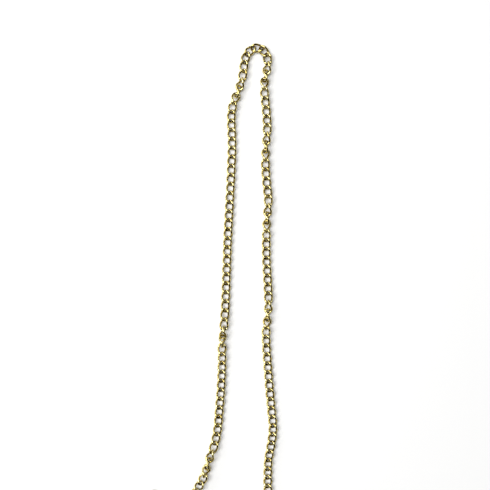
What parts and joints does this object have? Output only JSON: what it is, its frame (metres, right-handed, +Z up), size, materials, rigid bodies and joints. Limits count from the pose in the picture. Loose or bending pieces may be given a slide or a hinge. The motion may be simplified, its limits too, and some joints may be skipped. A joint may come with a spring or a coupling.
{
  "type": "pocket watch chain",
  "caption": "Long fine curb link watch chain laid in a narrow loop, with a T-bar at one end and a sprung swivel clasp at the other.",
  "frame": {"origin": "middle of the footprint, on the surface the chain lies on", "axes": "+Z up, +Y towards the bend of the loop, +X to the clasp's leg"},
  "size_m": [0.0447, 0.1758, 0.0034],
  "materials": {
    "gilt_brass": "polished",
    "pin_steel": "polished",
    "spring_steel": "bright drawn wire"
  },
  "bodies": {
    "link_run_middle": {"link_run_middle": "gilt_brass"},
    "link_run_left_01": {"link_run_left_01": "gilt_brass"},
    "link_run_left_02": {"link_run_left_02": "gilt_brass"},
    "link_run_left_03": {"link_run_left_03": "gilt_brass"},
    "link_run_left_04": {"link_run_left_04": "gilt_brass"},
    "link_run_left_05": {"link_run_left_05": "gilt_brass"},
    "link_run_left_06": {"link_run_left_06": "gilt_brass"},
    "link_run_left_07": {"link_run_left_07": "gilt_brass"},
    "link_run_left_08": {"link_run_left_08": "gilt_brass"},
    "link_run_left_09": {"link_run_left_09": "gilt_brass"},
    "link_run_left_10": {"link_run_left_10": "gilt_brass"},
    "link_run_left_11": {"link_run_left_11": "gilt_brass"},
    "link_run_left_12": {"link_run_left_12": "gilt_brass"},
    "link_run_left_13": {"link_run_left_13": "gilt_brass"},
    "link_run_left_14": {"link_run_left_14": "gilt_brass"},
    "link_run_left_15": {"link_run_left_15": "gilt_brass"},
    "link_run_left_16": {"link_run_left_16": "gilt_brass"},
    "link_run_left_17": {"link_run_left_17": "gilt_brass"},
    "link_run_left_18": {"link_run_left_18": "gilt_brass"},
    "link_run_left_19": {"link_run_left_19": "gilt_brass"},
    "link_run_left_20": {"link_run_left_20": "gilt_brass"},
    "link_run_left_21": {"link_run_left_21": "gilt_brass"},
    "link_run_left_22": {"link_run_left_22": "gilt_brass"},
    "link_run_left_23": {"link_run_left_23": "gilt_brass"},
    "link_run_left_24": {"link_run_left_24": "gilt_brass"},
    "link_run_left_25": {"link_run_left_25": "gilt_brass"},
    "link_run_right_01": {"link_run_right_01": "gilt_brass"},
    "link_run_right_02": {"link_run_right_02": "gilt_brass"},
    "link_run_right_03": {"link_run_right_03": "gilt_brass"},
    "link_run_right_04": {"link_run_right_04": "gilt_brass"},
    "link_run_right_05": {"link_run_right_05": "gilt_brass"},
    "link_run_right_06": {"link_run_right_06": "gilt_brass"},
    "link_run_right_07": {"link_run_right_07": "gilt_brass"},
    "link_run_right_08": {"link_run_right_08": "gilt_brass"},
    "link_run_right_09": {"link_run_right_09": "gilt_brass"},
    "link_run_right_10": {"link_run_right_10": "gilt_brass"},
    "link_run_right_11": {"link_run_right_11": "gilt_brass"},
    "link_run_right_12": {"link_run_right_12": "gilt_brass"},
    "link_run_right_13": {"link_run_right_13": "gilt_brass"},
    "link_run_right_14": {"link_run_right_14": "gilt_brass"},
    "link_run_right_15": {"link_run_right_15": "gilt_brass"},
    "link_run_right_16": {"link_run_right_16": "gilt_brass"},
    "link_run_right_17": {"link_run_right_17": "gilt_brass"},
    "link_run_right_18": {"link_run_right_18": "gilt_brass"},
    "link_run_right_19": {"link_run_right_19": "gilt_brass"},
    "link_run_right_20": {"link_run_right_20": "gilt_brass"},
    "link_run_right_21": {"link_run_right_21": "gilt_brass"},
    "link_run_right_22": {"link_run_right_22": "gilt_brass"},
    "link_run_right_23": {"link_run_right_23": "gilt_brass"},
    "link_run_right_24": {"link_run_right_24": "gilt_brass"},
    "link_run_right_25": {"link_run_right_25": "gilt_brass"},
    "clasp_jump_ring": {"clasp_jump_ring": "gilt_brass"},
    "clasp_swivel": {"clasp_swivel": "gilt_brass"},
    "clasp": {"clasp_hook": "gilt_brass", "gate_pin": "pin_steel", "gate_spring": "spring_steel"},
    "clasp_gate": {"clasp_gate": "gilt_brass"},
    "t_bar_jump_ring": {"t_bar_jump_ring": "gilt_brass"},
    "t_bar": {"t_bar": "gilt_brass", "t_bar_eye": "gilt_brass"}
  },
  "joints": [
    {"name": "gate_hinge", "type": "hinge", "parent": "clasp", "child": "clasp_gate", "pos_m": [0.01489, -0.0758, 0.0017], "axis": [0, 0, 1], "range_deg": [0, 26], "stiffness_Nm_per_rad": 0.002, "springref_deg": -17.19, "deforming": ["gate_spring"]},
    {"name": "swivel_turn", "type": "hinge", "parent": "clasp_swivel", "child": "clasp", "pos_m": [0.01781, -0.07105, 0.0017], "axis": [0.0183, -0.9998, 0], "continuous": true},
    {"name": "clasp_ring_hinge", "type": "hinge", "parent": "link_run_right_25", "child": "clasp_jump_ring", "pos_m": [0.01771, -0.06576, 0.00134], "axis": [0.7076, -0.0222, -0.7062], "range_deg": [-40, 40]},
    {"name": "swivel_eye_hinge", "type": "hinge", "parent": "clasp_jump_ring", "child": "clasp_swivel", "pos_m": [0.01776, -0.06847, 0.0017], "axis": [-0.8659, -0.0158, -0.5], "range_deg": [-40, 40]},
    {"name": "t_bar_ring_hinge", "type": "hinge", "parent": "link_run_left_25", "child": "t_bar_jump_ring", "pos_m": [-0.00784, -0.06382, 0.00134], "axis": [0.5997, -0.3756, -0.7066], "range_deg": [-20, 14]},
    {"name": "t_bar_hinge", "type": "hinge", "parent": "t_bar_jump_ring", "child": "t_bar", "pos_m": [-0.00919, -0.06615, 0.00152], "axis": [-0.8139, 0.4697, -0.342], "range_deg": [-60, 60]},
    {"name": "left_01_hinge", "type": "hinge", "parent": "link_run_middle", "child": "link_run_left_01", "pos_m": [0.01023, 0.08412, 0.00095], "axis": [-0.4756, 0.5233, 0.7071], "range_deg": [-40, 30]},
    {"name": "left_02_hinge", "type": "hinge", "parent": "link_run_left_01", "child": "link_run_left_02", "pos_m": [0.00955, 0.07912, 0.00128], "axis": [-0.7067, 0.0656, -0.7045], "range_deg": [-40, 40]},
    {"name": "left_03_hinge", "type": "hinge", "parent": "link_run_left_02", "child": "link_run_left_03", "pos_m": [0.00793, 0.0725, 0.00158], "axis": [0.9504, -0.2985, -0.0872], "range_deg": [-20, 16]},
    {"name": "left_04_hinge", "type": "hinge", "parent": "link_run_left_03", "child": "link_run_left_04", "pos_m": [0.00619, 0.06845, 0.00162], "axis": [-0.6814, 0.1991, -0.7044], "range_deg": [-22, 40]},
    {"name": "left_05_hinge", "type": "hinge", "parent": "link_run_left_04", "child": "link_run_left_05", "pos_m": [0.00537, 0.06167, 0.00101], "axis": [0.7091, 0.0313, -0.7044], "range_deg": [-40, 40]},
    {"name": "left_06_hinge", "type": "hinge", "parent": "link_run_left_05", "child": "link_run_left_06", "pos_m": [0.00567, 0.05665, 0.00095], "axis": [0.7071, 0.0036, 0.7071], "range_deg": [-40, 40]},
    {"name": "left_07_hinge", "type": "hinge", "parent": "link_run_left_06", "child": "link_run_left_07", "pos_m": [0.00558, 0.04976, 0.00095], "axis": [-0.7068, 0.0209, 0.7071], "range_deg": [-40, 40]},
    {"name": "left_08_hinge", "type": "hinge", "parent": "link_run_left_07", "child": "link_run_left_08", "pos_m": [0.00535, 0.04463, 0.00095], "axis": [-0.7063, 0.034, -0.7071], "range_deg": [-40, 40]},
    {"name": "left_09_hinge", "type": "hinge", "parent": "link_run_left_08", "child": "link_run_left_09", "pos_m": [0.00501, 0.0377, 0.00095], "axis": [0.7062, -0.0361, -0.7071], "range_deg": [-40, 40]},
    {"name": "left_10_hinge", "type": "hinge", "parent": "link_run_left_09", "child": "link_run_left_10", "pos_m": [0.00475, 0.03254, 0.00095], "axis": [0.7061, -0.0374, 0.7071], "range_deg": [-40, 40]},
    {"name": "left_11_hinge", "type": "hinge", "parent": "link_run_left_10", "child": "link_run_left_11", "pos_m": [0.00438, 0.02565, 0.00095], "axis": [-0.7061, 0.037, 0.7071], "range_deg": [-40, 40]},
    {"name": "left_12_hinge", "type": "hinge", "parent": "link_run_left_11", "child": "link_run_left_12", "pos_m": [0.00416, 0.02055, 0.00095], "axis": [-0.7067, 0.0243, -0.7071], "range_deg": [-40, 40]},
    {"name": "left_13_hinge", "type": "hinge", "parent": "link_run_left_12", "child": "link_run_left_13", "pos_m": [0.00393, 0.01365, 0.00095], "axis": [0.7068, -0.0219, -0.7071], "range_deg": [-40, 40]},
    {"name": "left_14_hinge", "type": "hinge", "parent": "link_run_left_13", "child": "link_run_left_14", "pos_m": [0.00378, 0.00855, 0.00095], "axis": [0.7067, -0.0246, 0.7071], "range_deg": [-40, 40]},
    {"name": "left_15_hinge", "type": "hinge", "parent": "link_run_left_14", "child": "link_run_left_15", "pos_m": [0.00352, 0.00165, 0.00095], "axis": [-0.7065, 0.0285, 0.7071], "range_deg": [-40, 40]},
    {"name": "left_16_hinge", "type": "hinge", "parent": "link_run_left_15", "child": "link_run_left_16", "pos_m": [0.00326, -0.00344, 0.00143], "axis": [-0.5014, 0.0079, -0.8652], "range_deg": [-40, 40]},
    {"name": "left_17_hinge", "type": "hinge", "parent": "link_run_left_16", "child": "link_run_left_17", "pos_m": [0.00246, -0.01019, 0.00158], "axis": [0.9303, -0.1327, 0.342], "range_deg": [-14, 18]},
    {"name": "left_18_hinge", "type": "hinge", "parent": "link_run_left_17", "child": "link_run_left_18", "pos_m": [0.00241, -0.01497, 0.00149], "axis": [-0.7064, 0.0702, -0.7043], "range_deg": [-40, 40]},
    {"name": "left_19_hinge", "type": "hinge", "parent": "link_run_left_18", "child": "link_run_left_19", "pos_m": [0.00228, -0.02183, 0.00092], "axis": [0.7083, 0.0369, -0.7049], "range_deg": [-40, 40]},
    {"name": "left_20_hinge", "type": "hinge", "parent": "link_run_left_19", "child": "link_run_left_20", "pos_m": [0.00204, -0.02693, 0.00095], "axis": [0.705, -0.0545, 0.7071], "range_deg": [-40, 40]},
    {"name": "left_21_hinge", "type": "hinge", "parent": "link_run_left_20", "child": "link_run_left_21", "pos_m": [0.00148, -0.03378, 0.00095], "axis": [-0.7045, 0.0604, 0.7071], "range_deg": [-40, 40]},
    {"name": "left_22_hinge", "type": "hinge", "parent": "link_run_left_21", "child": "link_run_left_22", "pos_m": [0.00114, -0.03877, 0.00093], "axis": [-0.7038, 0.0726, -0.7067], "range_deg": [-40, 40]},
    {"name": "left_23_hinge", "type": "hinge", "parent": "link_run_left_22", "child": "link_run_left_23", "pos_m": [-0.00002, -0.04551, 0.00136], "axis": [0.6801, -0.2033, -0.7043], "range_deg": [-40, 40]},
    {"name": "left_24_hinge", "type": "hinge", "parent": "link_run_left_23", "child": "link_run_left_24", "pos_m": [-0.00175, -0.04999, 0.00158], "axis": [-0.676, 0.2075, 0.7071], "range_deg": [-16, 18]},
    {"name": "left_25_hinge", "type": "hinge", "parent": "link_run_left_24", "child": "link_run_left_25", "pos_m": [-0.00361, -0.05631, 0.00158], "axis": [0.0839, -0.0237, -0.9962], "range_deg": [-32, 32]},
    {"name": "right_01_hinge", "type": "hinge", "parent": "link_run_middle", "child": "link_run_right_01", "pos_m": [0.0176, 0.08365, 0.00137], "axis": [0.5853, 0.4021, -0.7041], "range_deg": [-40, 22]},
    {"name": "right_02_hinge", "type": "hinge", "parent": "link_run_right_01", "child": "link_run_right_02", "pos_m": [0.01725, 0.0788, 0.00158], "axis": [-0.6888, 0.1601, 0.7071], "range_deg": [-18, 16]},
    {"name": "right_03_hinge", "type": "hinge", "parent": "link_run_right_02", "child": "link_run_right_03", "pos_m": [0.01632, 0.0722, 0.00158], "axis": [0.087, -0.0046, -0.9962], "range_deg": [-24, 3]},
    {"name": "right_04_hinge", "type": "hinge", "parent": "link_run_right_03", "child": "link_run_right_04", "pos_m": [0.01693, 0.06714, 0.00105], "axis": [0.7047, 0.0579, 0.7071], "range_deg": [-40, 40]},
    {"name": "right_05_hinge", "type": "hinge", "parent": "link_run_right_04", "child": "link_run_right_05", "pos_m": [0.01741, 0.06025, 0.00136], "axis": [-0.7095, 0.0206, 0.7044], "range_deg": [-40, 40]},
    {"name": "right_06_hinge", "type": "hinge", "parent": "link_run_right_05", "child": "link_run_right_06", "pos_m": [0.01705, 0.05534, 0.00158], "axis": [0.7058, -0.0436, -0.7071], "range_deg": [-16, 14]},
    {"name": "right_07_hinge", "type": "hinge", "parent": "link_run_right_06", "child": "link_run_right_07", "pos_m": [0.01677, 0.04851, 0.00158], "axis": [-0.0871, 0.0016, 0.9962], "range_deg": [-4, 26]},
    {"name": "right_08_hinge", "type": "hinge", "parent": "link_run_right_07", "child": "link_run_right_08", "pos_m": [0.01703, 0.04344, 0.00105], "axis": [-0.7039, -0.0673, -0.7071], "range_deg": [-40, 40]},
    {"name": "right_09_hinge", "type": "hinge", "parent": "link_run_right_08", "child": "link_run_right_09", "pos_m": [0.01777, 0.03656, 0.00135], "axis": [0.7093, 0.0236, -0.7045], "range_deg": [-40, 40]},
    {"name": "right_10_hinge", "type": "hinge", "parent": "link_run_right_09", "child": "link_run_right_10", "pos_m": [0.01747, 0.03165, 0.00158], "axis": [-0.7052, 0.0513, 0.7071], "range_deg": [-14, 16]},
    {"name": "right_11_hinge", "type": "hinge", "parent": "link_run_right_10", "child": "link_run_right_11", "pos_m": [0.0171, 0.02491, 0.00158], "axis": [0.0871, -0.0031, -0.9962], "range_deg": [-28, 5]},
    {"name": "right_12_hinge", "type": "hinge", "parent": "link_run_right_11", "child": "link_run_right_12", "pos_m": [0.0171, 0.02002, 0.00107], "axis": [0.7074, -0.0127, 0.7067], "range_deg": [-40, 40]},
    {"name": "right_13_hinge", "type": "hinge", "parent": "link_run_right_12", "child": "link_run_right_13", "pos_m": [0.01728, 0.01315, 0.00095], "axis": [-0.7067, -0.0248, 0.7071], "range_deg": [-40, 40]},
    {"name": "right_14_hinge", "type": "hinge", "parent": "link_run_right_13", "child": "link_run_right_14", "pos_m": [0.01758, 0.00818, 0.00101], "axis": [-0.7031, -0.0981, -0.7043], "range_deg": [-40, 40]},
    {"name": "right_15_hinge", "type": "hinge", "parent": "link_run_right_14", "child": "link_run_right_15", "pos_m": [0.01781, 0.00136, 0.00162], "axis": [0.7081, -0.0505, -0.7043], "range_deg": [-32, 30]},
    {"name": "right_16_hinge", "type": "hinge", "parent": "link_run_right_15", "child": "link_run_right_16", "pos_m": [0.01752, -0.00341, 0.00158], "axis": [-0.9879, 0.1282, -0.0872], "range_deg": [-18, 14]},
    {"name": "right_17_hinge", "type": "hinge", "parent": "link_run_right_16", "child": "link_run_right_17", "pos_m": [0.01699, -0.01015, 0.00127], "axis": [0.7086, 0.0433, -0.7042], "range_deg": [-40, 40]},
    {"name": "right_18_hinge", "type": "hinge", "parent": "link_run_right_17", "child": "link_run_right_18", "pos_m": [0.01727, -0.01515, 0.00095], "axis": [0.7056, 0.0461, 0.7071], "range_deg": [-40, 40]},
    {"name": "right_19_hinge", "type": "hinge", "parent": "link_run_right_18", "child": "link_run_right_19", "pos_m": [0.01776, -0.02201, 0.00095], "axis": [-0.705, -0.0539, 0.7071], "range_deg": [-40, 40]},
    {"name": "right_20_hinge", "type": "hinge", "parent": "link_run_right_19", "child": "link_run_right_20", "pos_m": [0.01819, -0.02703, 0.00095], "axis": [-0.7042, -0.0636, -0.7071], "range_deg": [-40, 40]},
    {"name": "right_21_hinge", "type": "hinge", "parent": "link_run_right_20", "child": "link_run_right_21", "pos_m": [0.01881, -0.03388, 0.00095], "axis": [0.7042, 0.0645, -0.7071], "range_deg": [-40, 40]},
    {"name": "right_22_hinge", "type": "hinge", "parent": "link_run_right_21", "child": "link_run_right_22", "pos_m": [0.01938, -0.03884, 0.00095], "axis": [0.7069, -0.0172, 0.7071], "range_deg": [-40, 40]},
    {"name": "right_23_hinge", "type": "hinge", "parent": "link_run_right_22", "child": "link_run_right_23", "pos_m": [0.01877, -0.04558, 0.00095], "axis": [-0.6984, 0.1107, 0.7071], "range_deg": [-40, 40]},
    {"name": "right_24_hinge", "type": "hinge", "parent": "link_run_right_23", "child": "link_run_right_24", "pos_m": [0.01783, -0.05027, 0.00095], "axis": [-0.706, 0.0388, -0.7071], "range_deg": [-40, 40]},
    {"name": "right_25_hinge", "type": "hinge", "parent": "link_run_right_24", "child": "link_run_right_25", "pos_m": [0.0176, -0.057, 0.00095], "axis": [0.707, -0.0093, -0.7071], "range_deg": [-40, 40]}
  ]
}
